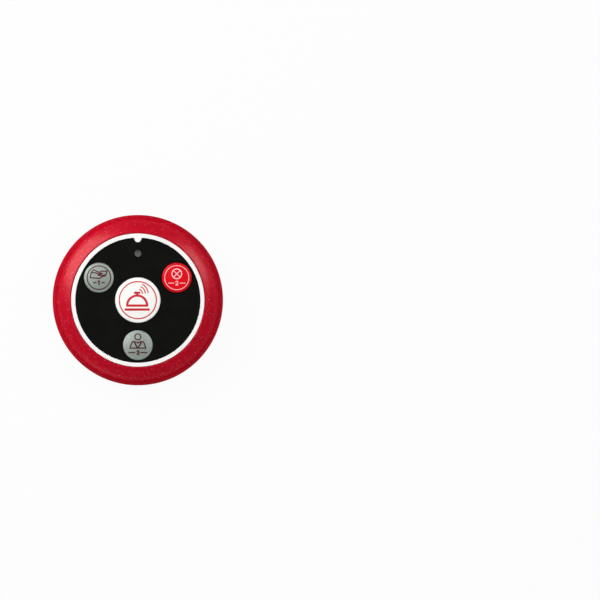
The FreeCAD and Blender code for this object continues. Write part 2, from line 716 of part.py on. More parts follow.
def contact_spring():
    """Conical spring on the minus contact, pressed against the battery's last cell."""
    length = SPRING_LENGTH - 2 * SPRING_WIRE_RADIUS
    spring = coil(
        SPRING_BASE_RADIUS, SPRING_TIP_RADIUS, length, SPRING_TURNS, SPRING_CLOSED_TURNS, SPRING_WIRE_RADIUS
    )
    plate_face = -trough_half_length + CONTACT_THICKNESS
    spring.translate(Vector(plate_face + SPRING_WIRE_RADIUS, 0, battery_axis))
    return spring


# ---------------------------------------------------------------- circuit board
def circuit_board():
    """Round board with notches for the shell's bosses and holes for screws, locating pins and contacts."""
    cutters = [contact_slot(1), contact_slot(-1)]
    for angle in CASE_SCREW_ANGLES:
        x, y = polar(boss_circle_radius, angle)
        cutters.append(disc(BOSS_RADIUS + BOSS_NOTCH_GAP, board_bottom, board_top, x, y))
    for angle in BOARD_POST_ANGLES:
        x, y = polar(board_post_circle_radius, angle)
        cutters.append(disc(BOARD_POST_PIN_RADIUS + THREAD_CLEARANCE, board_bottom, board_top, x, y))
    for x, y in BOARD_SCREW_PLACES:
        cutters.append(disc(board_screw_radius + SCREW_CLEARANCE / 2, board_bottom, board_top, x, y))
    return less(disc(board_radius, board_bottom, board_top), cutters)


def switch_housing():
    """Square switch base with a round well for the contact dome and the plunger's flange."""
    top = board_top + SWITCH_HEIGHT - SWITCH_COVER
    body = centred_block((SWITCH_SIDE, SWITCH_SIDE, top - board_top), 0.0, 0.0, board_top)
    return body.cut(disc(SWITCH_WELL_RADIUS, dome_seat, top))


def switch_cover():
    """Thin steel cover that keeps the plunger in its switch."""
    top = board_top + SWITCH_HEIGHT
    cover = centred_block((SWITCH_SIDE, SWITCH_SIDE, SWITCH_COVER), 0.0, 0.0, top - SWITCH_COVER)
    return cover.cut(disc(PLUNGER_RADIUS + PLUNGER_CLEARANCE, top - SWITCH_COVER, top))


def switch_terminals():
    """Four solder legs at a switch's corners."""
    length, width, thickness = TERMINAL_SIZE
    x = SWITCH_SIDE / 2 + length / 2
    y = SWITCH_SIDE / 2 - width / 2
    places = [(x, y), (x, -y), (-x, y), (-x, -y)]
    return [centred_block((length, width, thickness), *place, board_top) for place in places]


def plunger():
    """The switch's button: a stem under the key's post, with a flange below the cover."""
    return fused([
        disc(PLUNGER_RADIUS, plunger_foot, plunger_top),
        disc(PLUNGER_FLANGE_RADIUS, plunger_foot, plunger_foot + PLUNGER_FLANGE),
    ])


def contact_dome():
    """Snap dome under the plunger: it springs the key back and closes the contact."""
    rise = plunger_foot - dome_seat - DOME_THICKNESS
    sphere_radius = (DOME_RADIUS**2 + rise**2) / (2 * rise)
    middle = Vector(0, 0, plunger_foot - DOME_THICKNESS - sphere_radius)
    outer = Part.makeSphere(sphere_radius + DOME_THICKNESS, middle)
    inner = Part.makeSphere(sphere_radius, middle)
    return outer.cut(inner).common(disc(DOME_RADIUS, dome_seat, plunger_foot))


def status_led():
    """Chip LED under the light pipe."""
    return centred_block(LED_SIZE, 0.0, light_y, board_top)


def under_board(size, x, y):
    """A boxed part soldered to the board's underside."""
    return centred_block(size, x, y, board_bottom - size[2])


def encoder_chip():
    """Eight-pin encoder under the board."""
    return centred_block(CHIP_BODY, chip_x, chip_y, board_bottom - CHIP_STANDOFF - CHIP_BODY[2])


def encoder_leads():
    """The encoder's eight solder leads."""
    _, length, thickness = CHIP_LEAD
    leads = []
    for along in centred_row(CHIP_LEADS_A_SIDE, CHIP_LEAD_PITCH):
        for side in (1, -1):
            y = chip_y + side * (CHIP_BODY[1] / 2 + length / 2)
            leads.append(centred_block(CHIP_LEAD, chip_x + along, y, board_bottom - thickness))
    return leads


def resonator():
    """Round metal can that sets the transmitter's frequency."""
    low = board_bottom - RESONATOR_HEIGHT
    cap = round_edges(disc(RESONATOR_RADIUS, low, board_bottom), RESONATOR_RADIUS, low, RESONATOR_CAP_ROUND)
    flange = disc(RESONATOR_FLANGE_RADIUS, board_bottom - RESONATOR_FLANGE, board_bottom)
    return turned(fused([cap, flange]), 0, resonator_x, resonator_y)


def resistors():
    """Chip resistors: one beside the light, and a row between the encoder and the resonator."""
    length, width, height = RESISTOR_SIZE
    upright = (width, length, height)
    beside_light = -(LIGHT_PIPE_FLANGE_RADIUS + PART_GAP / 2 + width / 2)
    row = [
        under_board(RESISTOR_SIZE, -PART_GAP, resonator_y + across)
        for across in centred_row(RESISTORS_IN_ROW, width + PART_GAP)
    ]
    return [centred_block(upright, beside_light, light_y, board_top)] + row


def capacitors():
    """Chip capacitors in a row beside the resonator."""
    _, width, _ = CAPACITOR_SIZE
    x = resonator_x - RESONATOR_FLANGE_RADIUS - PART_GAP / 2 - CAPACITOR_SIZE[0] / 2
    return [
        under_board(CAPACITOR_SIZE, x, resonator_y + across)
        for across in centred_row(CAPACITORS_IN_ROW, width + PART_GAP)
    ]


def antenna_coil():
    """Wound wire antenna, lying along X under the board with a leg up to it at each end."""
    length = ANTENNA_PITCH * ANTENNA_TURNS
    y = trough_outside_y + ANTENNA_RADIUS + ANTENNA_WIRE_RADIUS + ANTENNA_TROUGH_GAP
    z = board_bottom - ANTENNA_RADIUS - ANTENNA_WIRE_RADIUS - ANTENNA_BOARD_GAP
    winding = coil(ANTENNA_RADIUS, ANTENNA_RADIUS, length, ANTENNA_TURNS, 0, ANTENNA_WIRE_RADIUS)
    winding.translate(Vector(-length / 2, y, z))
    leg_bottom = z + ANTENNA_RADIUS - ANTENNA_WIRE_RADIUS
    legs = [disc(ANTENNA_LEG_RADIUS, leg_bottom, board_bottom, end * length / 2, y) for end in (1, -1)]
    return fused([winding] + legs)


# ---------------------------------------------------------------- screws
def screw(shank_radius, length, head_radius, head_height, seat):
    """A screw driven upwards: its head is below the seat level and has a cross recess."""
    width, span, depth = CROSS_RECESS
    head_bottom = seat - head_height
    body = fused([disc(head_radius, head_bottom, seat), disc(shank_radius, head_bottom, seat + length)])
    return less(body, [
        centred_block((width, span, depth), 0.0, 0.0, head_bottom),
        centred_block((span, width, depth), 0.0, 0.0, head_bottom),
    ])


def case_screws():
    """Three screws that hold the base cover to the shell."""
    one = screw(*CASE_SCREW, screw_seat)
    return [turned(one, angle, *polar(boss_circle_radius, angle)) for angle in CASE_SCREW_ANGLES]


def board_screws():
    """Four screws that hold the board to the panel's bosses."""
    one = screw(*BOARD_SCREW, board_bottom)
    return [turned(one, 0, x, y) for x, y in BOARD_SCREW_PLACES]


# ---------------------------------------------------------------- the whole button
def at_each_key(shapes):
    """Copies of the shapes at every key's centre."""
    return [turned(shape, 0, x, y) for x, y, _, _ in key_places().values() for shape in shapes]


def all_pieces():
    """Every node's name with its list of solids."""
    pieces = {
        "top_shell": [top_shell()],
        "trim_ring": [trim_ring()],
        "key_panel": [key_panel()],
        "light_pipe": [light_pipe()],
        "base_cover": [base_cover()],
        "battery_door": [battery_door()],
        "rubber_feet": rubber_feet(),
        "case_screws": case_screws(),
        "board_screws": board_screws(),
        "circuit_board": [circuit_board()],
        "switch_housings": at_each_key([switch_housing()]),
        "switch_covers": at_each_key([switch_cover()]),
        "switch_terminals": at_each_key(switch_terminals()),
        "status_led": [status_led()],
        "encoder_chip": [encoder_chip()],
        "encoder_leads": encoder_leads(),
        "resonator": [resonator()],
        "chip_resistors": resistors(),
        "chip_capacitors": capacitors(),
        "antenna_coil": [antenna_coil()],
        "plus_contact": [battery_contact(1)],
        "minus_contact": [battery_contact(-1)],
        "contact_spring": [contact_spring()],
        "battery_can": [battery_can()],
        "battery_cells": battery_cells(),
        "battery_jacket": [battery_jacket()],
    }
    for name, (x, y, radius, ear_angle) in key_places().items():
        pieces[f"{name}_key"] = [turned(key(radius), ear_angle, x, y)]
        pieces[f"{name}_plunger"] = [turned(plunger(), 0, x, y)]
        pieces[f"{name}_contact_dome"] = [turned(contact_dome(), 0, x, y)]
    return pieces


os.makedirs("parts", exist_ok=True)
for node, solids in all_pieces().items():
    shape = solids[0] if len(solids) == 1 else Part.makeCompound(solids)
    shape.exportStep(f"parts/{node}.step")
    print(f"{node}: {len(shape.Solids)} solid(s), valid {shape.isValid()}, {shape.Volume:.2f} mm3")
print(f"case {2 * case_radius:.2f} mm across, {key_rim + KEY_CROWN:.2f} mm high")
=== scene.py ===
import math

import bmesh
import bpy
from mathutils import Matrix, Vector, geometry


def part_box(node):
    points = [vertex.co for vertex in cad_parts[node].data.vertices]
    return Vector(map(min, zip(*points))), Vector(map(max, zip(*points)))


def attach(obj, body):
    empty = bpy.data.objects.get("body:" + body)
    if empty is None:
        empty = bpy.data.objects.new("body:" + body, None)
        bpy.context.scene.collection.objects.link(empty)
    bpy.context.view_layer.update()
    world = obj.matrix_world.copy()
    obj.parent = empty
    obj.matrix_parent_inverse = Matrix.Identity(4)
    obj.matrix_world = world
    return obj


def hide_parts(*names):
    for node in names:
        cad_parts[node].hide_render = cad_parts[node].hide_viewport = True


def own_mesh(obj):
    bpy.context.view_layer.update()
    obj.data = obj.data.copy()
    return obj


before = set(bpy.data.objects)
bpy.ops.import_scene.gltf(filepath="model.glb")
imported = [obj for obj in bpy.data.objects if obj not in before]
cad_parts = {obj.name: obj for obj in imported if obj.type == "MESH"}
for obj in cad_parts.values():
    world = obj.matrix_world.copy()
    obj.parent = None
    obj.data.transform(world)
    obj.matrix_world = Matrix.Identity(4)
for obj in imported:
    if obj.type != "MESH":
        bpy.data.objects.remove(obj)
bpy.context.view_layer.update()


# ---------------------------------------------------------------- base cover
# The black lower half of the case, injection moulded in ABS. Its outside is spark eroded, so the light
# breaks up on a fine even grain. It carries the board, the battery's trough and the screw pillars.
MM = 0.001
SPARK_GRAIN = 0.22 * MM
SPARK_GRAIN_DEPTH = 0.012 * MM
COLOUR_DRIFT = 6 * MM           # width of the soft patches in which a colour varies


def linear(hex_colour):
    """A linear RGBA colour from an sRGB hex one."""
    channels = [int(hex_colour[i:i + 2], 16) / 255 for i in (1, 3, 5)]
    return (*((c / 12.92 if c <= 0.04045 else ((c + 0.055) / 1.055) ** 2.4) for c in channels), 1.0)


def add(tree, kind, settings=None, links=None, stops=()):
    """Adds a node, sets its inputs or properties, links sockets to its inputs and fills its colour ramp."""
    made = tree.nodes.new(f"ShaderNode{kind}")
    for name, value in (settings or {}).items():
        if isinstance(name, int) or name in made.inputs:
            made.inputs[name].default_value = value
        else:
            setattr(made, name, value)
    for name, socket in (links or {}).items():
        tree.links.new(socket, made.inputs[name])
    for number, (place, colour) in enumerate(stops):
        elements = made.color_ramp.elements
        stop = elements[number] if number < len(elements) else elements.new(place)
        stop.position = place
        stop.color = colour
    return made


def new_material(name):
    """A material with an empty node tree."""
    made = bpy.data.materials.new(name)
    made.use_nodes = True
    made.node_tree.nodes.clear()
    return made


def dress(material, *nodes):
    """Gives CAD nodes their finish."""
    for node in nodes:
        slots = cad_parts[node].data.materials
        slots.clear()
        slots.append(material)


def through_coloured(name, shades, roughness, grain, depth, specular=0.5):
    """A through-coloured plastic, rubber, ceramic or ink: two close shades, a fine grain, a gloss range."""
    made = new_material(name)
    tree = made.node_tree
    place = add(tree, "TexCoord").outputs["Object"]
    drift = add(tree, "TexNoise", {"Scale": 1 / COLOUR_DRIFT, "Detail": 3.0}, {"Vector": place})
    colour = add(tree, "ValToRGB", {}, {"Fac": drift.outputs["Fac"]},
                 [(0.35, linear(shades[0])), (0.65, linear(shades[1]))])
    texture = add(tree, "TexNoise", {"Scale": 1 / grain, "Detail": 2.0, "Roughness": 0.6},
                  {"Vector": place})
    gloss = add(tree, "MapRange", {"To Min": roughness[0], "To Max": roughness[1]},
                {"Value": texture.outputs["Fac"]})
    relief = add(tree, "Bump", {"Strength": 1.0, "Distance": depth}, {"Height": texture.outputs["Fac"]})
    shader = add(tree, "BsdfPrincipled", {"IOR": 1.5, "Specular IOR Level": specular},
                 {"Base Color": colour.outputs["Color"], "Roughness": gloss.outputs["Result"],
                  "Normal": relief.outputs["Normal"]})
    add(tree, "OutputMaterial", {}, {"Surface": shader.outputs["BSDF"]})
    return made


# Spark-eroded black ABS: matt, with a grain that is just seen at reading distance.
black_abs_spark_eroded = through_coloured(
    "black_abs_spark_eroded", shades=("#141416", "#1A1A1C"), roughness=(0.52, 0.68),
    grain=SPARK_GRAIN, depth=SPARK_GRAIN_DEPTH)
dress(black_abs_spark_eroded, "base_cover")


# ---------------------------------------------------------------- battery
# A 12 V battery: eight button cells stacked in a nickel-plated steel can, in a shrunk PVC sleeve. The
# sleeve is plain, with a band of another colour at the plus end, as such batteries have for their polarity.
SLEEVE_BAND = 7.0 * MM
SLEEVE_BAND_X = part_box("battery_jacket")[1].x - SLEEVE_BAND
SLEEVE_WAVE = 1.8 * MM
SLEEVE_WAVE_DEPTH = 0.03 * MM


def plated_metal(name, shades, roughness, streak, depth, stretch=(1.0, 1.0, 1.0)):
    """Plated or drawn metal: colour, gloss and a faint relief in streaks, drawn out along the low stretch."""
    made = new_material(name)
    tree = made.node_tree
    place = add(tree, "TexCoord").outputs["Object"]
    along = add(tree, "Mapping", {"Scale": stretch}, {"Vector": place})
    streaks = add(tree, "TexNoise", {"Scale": 1 / streak, "Detail": 4.0},
                  {"Vector": along.outputs["Vector"]})
    colour = add(tree, "ValToRGB", {}, {"Fac": streaks.outputs["Fac"]},
                 [(0.3, linear(shades[0])), (0.7, linear(shades[1]))])
    gloss = add(tree, "MapRange", {"To Min": roughness[0], "To Max": roughness[1]},
                {"Value": streaks.outputs["Fac"]})
    relief = add(tree, "Bump", {"Strength": 1.0, "Distance": depth}, {"Height": streaks.outputs["Fac"]})
    shader = add(tree, "BsdfPrincipled", {"Metallic": 1.0},
                 {"Base Color": colour.outputs["Color"], "Roughness": gloss.outputs["Result"],
                  "Normal": relief.outputs["Normal"]})
    add(tree, "OutputMaterial", {}, {"Surface": shader.outputs["BSDF"]})
    return made


# Nickel-plated steel: bright and slightly warm, with faint draw lines along the can.
nickel_plated_steel = plated_metal(
    "nickel_plated_steel", shades=("#BDB9B0", "#D2CFC8"), roughness=(0.2, 0.34),
    streak=0.3 * MM, depth=0.002 * MM, stretch=(0.08, 1.0, 1.0))
dress(nickel_plated_steel, "battery_can", "battery_cells")

# Shrunk PVC sleeve: glossy, with shallow waves from the shrinking.
shrunk_pvc_sleeve = new_material("shrunk_pvc_sleeve")
tree = shrunk_pvc_sleeve.node_tree
place = add(tree, "TexCoord").outputs["Object"]
along_battery = add(tree, "SeparateXYZ", {}, {"Vector": place})
band = add(tree, "Math", {"operation": "GREATER_THAN", 1: SLEEVE_BAND_X}, {0: along_battery.outputs["X"]})
waves = add(tree, "TexNoise", {"Scale": 1 / SLEEVE_WAVE, "Detail": 2.0}, {"Vector": place})
sleeve_colour = add(tree, "ValToRGB", {}, {"Fac": band.outputs[0]},
                    [(0.0, linear("#27406E")), (1.0, linear("#C9A24A"))])
relief = add(tree, "Bump", {"Strength": 1.0, "Distance": SLEEVE_WAVE_DEPTH},
             {"Height": waves.outputs["Fac"]})
gloss = add(tree, "MapRange", {"To Min": 0.18, "To Max": 0.32}, {"Value": waves.outputs["Fac"]})
shader = add(tree, "BsdfPrincipled", {"IOR": 1.54},
             {"Base Color": sleeve_colour.outputs["Color"], "Roughness": gloss.outputs["Result"],
              "Normal": relief.outputs["Normal"]})
add(tree, "OutputMaterial", {}, {"Surface": shader.outputs["BSDF"]})
dress(shrunk_pvc_sleeve, "battery_jacket")


# ---------------------------------------------------------------- battery contacts
# Two plates and a conical spring, pressed and wound from nickel-plated spring steel. Their tabs are
# soldered into the board.

# Rolled spring steel strip: finer streaks than the can's, and a little less bright.
rolled_spring_steel = plated_metal(
    "rolled_spring_steel", shades=("#A9A8A4", "#C4C3BF"), roughness=(0.24, 0.4),
    streak=0.15 * MM, depth=0.002 * MM, stretch=(1.0, 1.0, 0.1))
dress(rolled_spring_steel, "plus_contact", "minus_contact", "contact_spring")


# ---------------------------------------------------------------- circuit board
# Glass-fibre board with green solder mask over copper tracks. It lies between the base's posts and the
# panel's bosses.
TRACK_PITCH = 1.9 * MM          # coarser than real tracks, so that they show
LANE_HALF_WIDTH = 0.06          # of a pitch, from the middle of a lane to the copper's foot
COPPER_EDGE = 0.1               # of a pitch, from the middle of a lane to the copper's full height
WEAVE_STEP = 0.45 * MM          # for each radian of the weave's ripple, which is coarser than real cloth
WAVE_TURN = 20                  # radians that a wave texture turns through per unit of its scale
WEAVE_HEIGHT = 0.15             # of the copper's height
MASK_RELIEF = 0.03 * MM

# Solder mask: glossy green lacquer. The copper under it shows as lighter, raised islands with dark lanes
# between them, and the glass weave as a faint ripple.
green_solder_mask = new_material("green_solder_mask")
tree = green_solder_mask.node_tree
place = add(tree, "TexCoord").outputs["Object"]
lanes = add(tree, "TexVoronoi",
            {"feature": "DISTANCE_TO_EDGE", "distance": "EUCLIDEAN", "Scale": 1 / TRACK_PITCH,
             "Randomness": 0.75},
            {"Vector": place})
copper = add(tree, "MapRange",
             {"From Min": LANE_HALF_WIDTH, "From Max": COPPER_EDGE, "To Min": 0.0, "To Max": 1.0},
             {"Value": lanes.outputs["Distance"]})
mask_colour = add(tree, "ValToRGB", {}, {"Fac": copper.outputs["Result"]},
                  [(0.0, linear("#0B3A1E")), (1.0, linear("#17633A"))])
weave = add(tree, "TexWave", {"Scale": 1 / WEAVE_STEP / WAVE_TURN, "Distortion": 1.0}, {"Vector": place})
height = add(tree, "Math", {"operation": "MULTIPLY_ADD", 1: WEAVE_HEIGHT},
             {0: weave.outputs["Fac"], 2: copper.outputs["Result"]})
relief = add(tree, "Bump", {"Strength": 1.0, "Distance": MASK_RELIEF}, {"Height": height.outputs[0]})
gloss = add(tree, "MapRange", {"To Min": 0.22, "To Max": 0.34}, {"Value": weave.outputs["Fac"]})
shader = add(tree, "BsdfPrincipled", {"IOR": 1.55},
             {"Base Color": mask_colour.outputs["Color"], "Roughness": gloss.outputs["Result"],
              "Normal": relief.outputs["Normal"]})
add(tree, "OutputMaterial", {}, {"Surface": shader.outputs["BSDF"]})
dress(green_solder_mask, "circuit_board")


# ---------------------------------------------------------------- parts on the board
# The transmitter's chip, its resonator in a round can, chip resistors and capacitors, a wound antenna and
# the indicator's LED, all soldered down.

# Tinned copper: dull silver, with the soft unevenness of a dipped coat.
tinned_copper = plated_metal(
    "tinned_copper", shades=("#A8A8A6", "#C8C8C4"), roughness=(0.3, 0.45),
    streak=0.25 * MM, depth=0.01 * MM)
dress(tinned_copper, "encoder_leads", "switch_terminals")

# Enamelled copper wire: clear lacquer leaves it a deep, glossy orange brown.
enamelled_copper = plated_metal(
    "enamelled_copper", shades=("#8E4A24", "#B4683A"), roughness=(0.16, 0.28),
    streak=0.4 * MM, depth=0.003 * MM)
dress(enamelled_copper, "antenna_coil")

# The resonator's drawn can is plated like the battery's.
dress(nickel_plated_steel, "resonator")

# Moulded epoxy: matt black with fine filler grains.
moulded_epoxy = through_coloured(
    "moulded_epoxy", shades=("#161616", "#1E1E1F"), roughness=(0.5, 0.7),
    grain=0.1 * MM, depth=0.006 * MM)
dress(moulded_epoxy, "encoder_chip")

# Glazed ceramic: the smooth black top of a resistor.
glazed_ceramic = through_coloured(
    "glazed_ceramic", shades=("#121212", "#1C1C1C"), roughness=(0.25, 0.4),
    grain=0.3 * MM, depth=0.004 * MM)
dress(glazed_ceramic, "chip_resistors")

# Fired ceramic: the dull tan body of a capacitor.
fired_ceramic = through_coloured(
    "fired_ceramic", shades=("#96754F", "#A9885F"), roughness=(0.55, 0.7),
    grain=0.12 * MM, depth=0.006 * MM)
dress(fired_ceramic, "chip_capacitors")

# Cast resin over a white body: milky, with a soft gloss.
cast_led_resin = through_coloured(
    "cast_led_resin", shades=("#E6DFC2", "#F0EBD6"), roughness=(0.25, 0.35),
    grain=0.5 * MM, depth=0.003 * MM)
dress(cast_led_resin, "status_led")


# ---------------------------------------------------------------- switches
# Four tactile switches: nylon housings, thin steel covers, plungers and the snap domes that spring the keys
# back. A dome flattens under its plunger; here each is a spun piece of its own, held by the switch housings.
KEYS = ("call", "pay", "cancel", "order")
DOME_RADIUS = 1.85 * MM
DOME_SHEET = 0.08 * MM
DOME_STEP = 3                   # degrees between the points of a dome's profile
CURVE_STEP = 7.5                # degrees between the points of any other curve
SPIN_STEPS = 96                 # round a whole turn
WELD = 1e-6                     # metres; points of a spun piece that are nearer become one
CREASE = 40                     # degrees; an edge that bends more stays sharp


def polar(x, y, radius, angle):
    """The point at that angle in degrees on a circle about x, y."""
    return (x + radius * math.cos(math.radians(angle)), y + radius * math.sin(math.radians(angle)))


def arc(x, y, radius, start, end, step=CURVE_STEP):
    """Points along an arc, in degrees."""
    steps = max(2, round(abs(end - start) / step))
    return [polar(x, y, radius, start + (end - start) * n / steps) for n in range(steps + 1)]


def spun(name, profile, material, centre=(0, 0)):
    """A piece turned about an upright axis from a profile of radii and heights."""
    shape = bmesh.new()
    points = [shape.verts.new((radius, 0, height)) for radius, height in profile]
    edges = [shape.edges.new(pair) for pair in zip(points, points[1:])]
    bmesh.ops.spin(shape, geom=points + edges, cent=(0, 0, 0), axis=(0, 0, 1), angle=2 * math.pi,
                   steps=SPIN_STEPS, use_merge=True)
    bmesh.ops.remove_doubles(shape, verts=shape.verts, dist=WELD)
    bmesh.ops.recalc_face_normals(shape, faces=shape.faces)
    bmesh.ops.translate(shape, verts=shape.verts, vec=(*centre, 0))
    data = bpy.data.meshes.new(name)
    shape.to_mesh(data)
    shape.free()
    data.materials.append(material)
    data.shade_smooth()
    data.set_sharp_from_angle(angle=math.radians(CREASE))
    piece = bpy.data.objects.new(name, data)
    bpy.context.scene.collection.objects.link(piece)
    return piece


# Glass-filled nylon: dark grey and matt, with a fine grain from its short fibres.
glass_filled_nylon = through_coloured(
    "glass_filled_nylon", shades=("#1B1B1C", "#252526"), roughness=(0.5, 0.66),
    grain=0.18 * MM, depth=0.006 * MM)
dress(glass_filled_nylon, "switch_housings", *(f"{key}_plunger" for key in KEYS))
dress(rolled_spring_steel, "switch_covers")

for key in KEYS:
    low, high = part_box(f"{key}_contact_dome")
    middle = (low + high) / 2
    rise = high.z - low.z - DOME_SHEET
    bend = (DOME_RADIUS ** 2 + rise ** 2) / (2 * rise)
    spread = math.degrees(math.asin(DOME_RADIUS / bend))
    level = high.z - DOME_SHEET - bend
    inside = arc(0, level, bend, 90, 90 - spread, DOME_STEP)
    outside = arc(0, level, bend + DOME_SHEET, 90 - spread, 90, DOME_STEP)
    piece = spun(f"{key}_snap_dome", inside + outside, rolled_spring_steel, (middle.x, middle.y))
    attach(piece, "housing")
    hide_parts(f"{key}_contact_dome")
    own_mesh(piece)


# ---------------------------------------------------------------- screws
# Cross-recessed thread-forming screws in zinc-plated steel: three hold the case together from below, and
# four hold the board to the panel's bosses.

# Zinc plate: grey, softly clouded, with the fine spangle of a thin coat.
zinc_plated_steel = plated_metal(
    "zinc_plated_steel", shades=("#8C8F92", "#B2B5B6"), roughness=(0.3, 0.46),
    streak=0.35 * MM, depth=0.004 * MM)
dress(zinc_plated_steel, "case_screws", "board_screws")


# ---------------------------------------------------------------- trim ring
# White ABS ring that lies on the board and stands in the shell's opening round the key panel, with the tab
# that keeps the panel from turning.

# White ABS from a polished mould: bright and even, with the slow unevenness of thick mouldings.
white_abs = through_coloured(
    "white_abs", shades=("#F7F5F3", "#FBF9F7"), roughness=(0.3, 0.38),
    grain=0.8 * MM, depth=0.003 * MM)
dress(white_abs, "trim_ring")


# ---------------------------------------------------------------- key panel
# Black ABS faceplate with the key holes, the light window and a notch for the ring's tab. Four screws hold
# it to the board, and its mould gives its face a fine satin texture.
PANEL_GRAIN = 0.3 * MM          # coarser than the real 0.05 mm, which would be lost at this distance

# Satin black ABS: a weak sheen near the lamp's mirror direction only, so it stays black from straight above.
black_abs_satin = through_coloured(
    "black_abs_satin", shades=("#050604", "#0A0A08"), roughness=(0.2, 0.28),
    grain=PANEL_GRAIN, depth=0.003 * MM, specular=0.18)
dress(black_abs_satin, "key_panel")


# ---------------------------------------------------------------- light pipe
# A moulded plug of frosted acrylic. It stands on the LED and fills the small window below the ring's tab, so
# that the LED's light shows outside.
WINDOW_NEAR, WINDOW_FAR = (corner.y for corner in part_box("light_pipe"))
WINDOW_PAINTED_SHADE = 0.85              # painted shade: how much paler the window is painted at its near side than at its far one
FROST = 0.25 * MM               # coarser than real frosting of about 0.05 mm, which would be lost
FROST_DEPTH = 0.01 * MM
FROST_SHARE = 0.15              # how much the frost lightens the window in places, over the painted shade

# Frosted acrylic: grey while unlit, because its rough face scatters the little light that comes back out.
# The side towards the keys is painted paler and the far side darker: painted shade.
frosted_acrylic = new_material("frosted_acrylic")
tree = frosted_acrylic.node_tree
place = add(tree, "TexCoord").outputs["Object"]
frost = add(tree, "TexNoise", {"Scale": 1 / FROST, "Detail": 3.0}, {"Vector": place})
across = add(tree, "SeparateXYZ", {}, {"Vector": place})
# Painted shade: the window's colour runs from dark at its far side to pale at its side towards the keys.
painted_shade = add(tree, "MapRange",
               {"From Min": WINDOW_FAR, "From Max": WINDOW_NEAR, "To Min": 0.0, "To Max": WINDOW_PAINTED_SHADE},
               {"Value": across.outputs["Y"]})
shade = add(tree, "Math", {"operation": "MULTIPLY_ADD", 1: FROST_SHARE},
            {0: frost.outputs["Fac"], 2: painted_shade.outputs["Result"]})
# The frost's grain over the painted shade, from dark grey to pale grey.
frost_and_painted_shade_colour = add(tree, "ValToRGB", {}, {"Fac": shade.outputs[0]},
                   [(0.1, linear("#1B1C1A")), (0.9, linear("#767771"))])
gloss = add(tree, "MapRange", {"To Min": 0.4, "To Max": 0.6}, {"Value": frost.outputs["Fac"]})
relief = add(tree, "Bump", {"Strength": 1.0, "Distance": FROST_DEPTH}, {"Height": frost.outputs["Fac"]})
shader = add(tree, "BsdfPrincipled", {"IOR": 1.49, "Transmission Weight": 0.25},
             {"Base Color": frost_and_painted_shade_colour.outputs["Color"], "Roughness": gloss.outputs["Result"],
              "Normal": relief.outputs["Normal"]})
add(tree, "OutputMaterial", {}, {"Surface": shader.outputs["BSDF"]})
dress(frosted_acrylic, "light_pipe")


# ---------------------------------------------------------------- top shell
# The red bezel and side wall in one ABS moulding, sprayed with a metallic base coat and a clear coat. Three
# bosses inside take the case screws.
FLAKE = 0.19 * MM               # coarser than real flakes of about 0.03 mm, so that single ones show
FLAKE_TILT = 0.12               # how far flakes lean out of the paint's plane
FLAKE_CONTRAST = 0.32           # how much darker than the base coat a flake can be
BRIGHT_FLAKES = 0.014           # share of flakes painted pale pink, as glints that show under any light
MOTTLE = 1.3 * MM               # width of the patches where flakes lie denser
ORANGE_PEEL = 1.6 * MM
ORANGE_PEEL_DEPTH = 0.004 * MM
LACQUER_FACING = 0.12           # up to here of Layer Weight's facing the lacquer mirrors in full
LACQUER_GLANCING = 0.48         # from here on its peel scatters the mirror image away
LACQUER_FULL = 0.38             # the lacquer's weight where it mirrors in full
LACQUER_LEFT = 0.015            # and what is left of it at a glancing view

# Metallic paint: aluminium flakes in a red base coat under lacquer. The flakes lie denser in patches, each
# leans its own way, and single ones are painted pale pink: painted glints, which show under any light.
red_metallic_paint = new_material("red_metallic_paint")
tree = red_metallic_paint.node_tree
place = add(tree, "TexCoord").outputs["Object"]
flakes = add(tree, "TexVoronoi", {"feature": "F1", "Scale": 1 / FLAKE}, {"Vector": place})
flake_value = add(tree, "SeparateColor", {}, {"Color": flakes.outputs["Color"]})
# Painted glints: a few flakes get a pale pink colour that shows whatever the light.
painted_glint = add(tree, "Math", {"operation": "GREATER_THAN", 1: 1 - BRIGHT_FLAKES},
            {0: flake_value.outputs["Red"]})
mottle = add(tree, "TexNoise", {"Scale": 1 / MOTTLE, "Detail": 4.0}, {"Vector": place})
base_red = add(tree, "ValToRGB", {}, {"Fac": mottle.outputs["Fac"]},
               [(0.35, linear("#C2001F")), (0.65, linear("#D00327"))])
flake_shade = add(tree, "MixRGB", {"blend_type": "MULTIPLY", "Fac": FLAKE_CONTRAST},
                  {"Color1": base_red.outputs["Color"], "Color2": flake_value.outputs["Green"]})
# The red base with darker flakes, and the painted glints in pale pink.
paint_colour = add(tree, "MixRGB", {"Color2": linear("#CC6672")},
                   {"Fac": painted_glint.outputs[0], "Color1": flake_shade.outputs["Color"]})
lean = add(tree, "VectorMath",
           {"operation": "MULTIPLY_ADD", 1: (FLAKE_TILT,) * 3, 2: (-FLAKE_TILT / 2,) * 3},
           {0: flakes.outputs["Color"]})
surface = add(tree, "NewGeometry")
leaning = add(tree, "VectorMath", {"operation": "ADD"},
              {0: surface.outputs["Normal"], 1: lean.outputs["Vector"]})
flake_normal = add(tree, "VectorMath", {"operation": "NORMALIZE"}, {0: leaning.outputs["Vector"]})
peel = add(tree, "TexNoise", {"Scale": 1 / ORANGE_PEEL, "Detail": 1.0}, {"Vector": place})
lacquer_relief = add(tree, "Bump", {"Strength": 1.0, "Distance": ORANGE_PEEL_DEPTH},
                     {"Height": peel.outputs["Fac"]})
glance = add(tree, "LayerWeight", {"Blend": 0.5})
lacquer = add(tree, "MapRange",
              {"From Min": LACQUER_FACING, "From Max": LACQUER_GLANCING,
               "To Min": LACQUER_FULL, "To Max": LACQUER_LEFT},
              {"Value": glance.outputs["Facing"]})
gloss = add(tree, "MapRange", {"To Min": 0.42, "To Max": 0.5}, {"Value": mottle.outputs["Fac"]})
